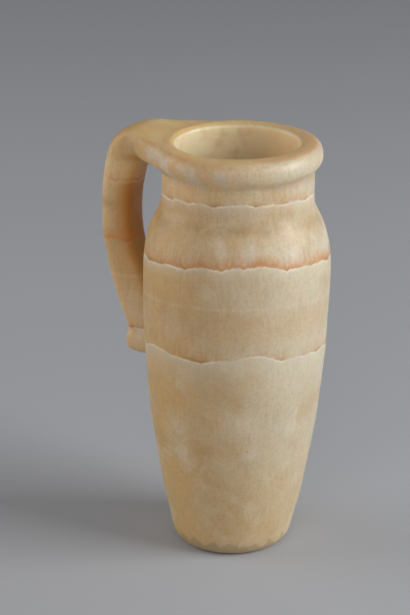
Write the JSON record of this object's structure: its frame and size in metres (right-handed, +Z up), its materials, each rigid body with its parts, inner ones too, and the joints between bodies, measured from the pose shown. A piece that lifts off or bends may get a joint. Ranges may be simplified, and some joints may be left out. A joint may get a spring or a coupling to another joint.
{
  "type": "alabaster pitcher",
  "caption": "Hollow carved stone pitcher with a tapering body, rounded shoulder, short neck, rolled lip and one strap handle.",
  "frame": {"origin": "centre of the flat underside of the foot, where the vessel's axis meets the ground", "axes": "+Z up along the vessel, the handle towards -X, the XZ plane is the mirror plane"},
  "size_m": [0.1152, 0.088, 0.202],
  "materials": {
    "alabaster": "smooth worn polish, faintly translucent, with white and rust-coloured growth bands"
  },
  "bodies": {
    "root": {"pitcher": "alabaster"}
  },
  "joints": []
}
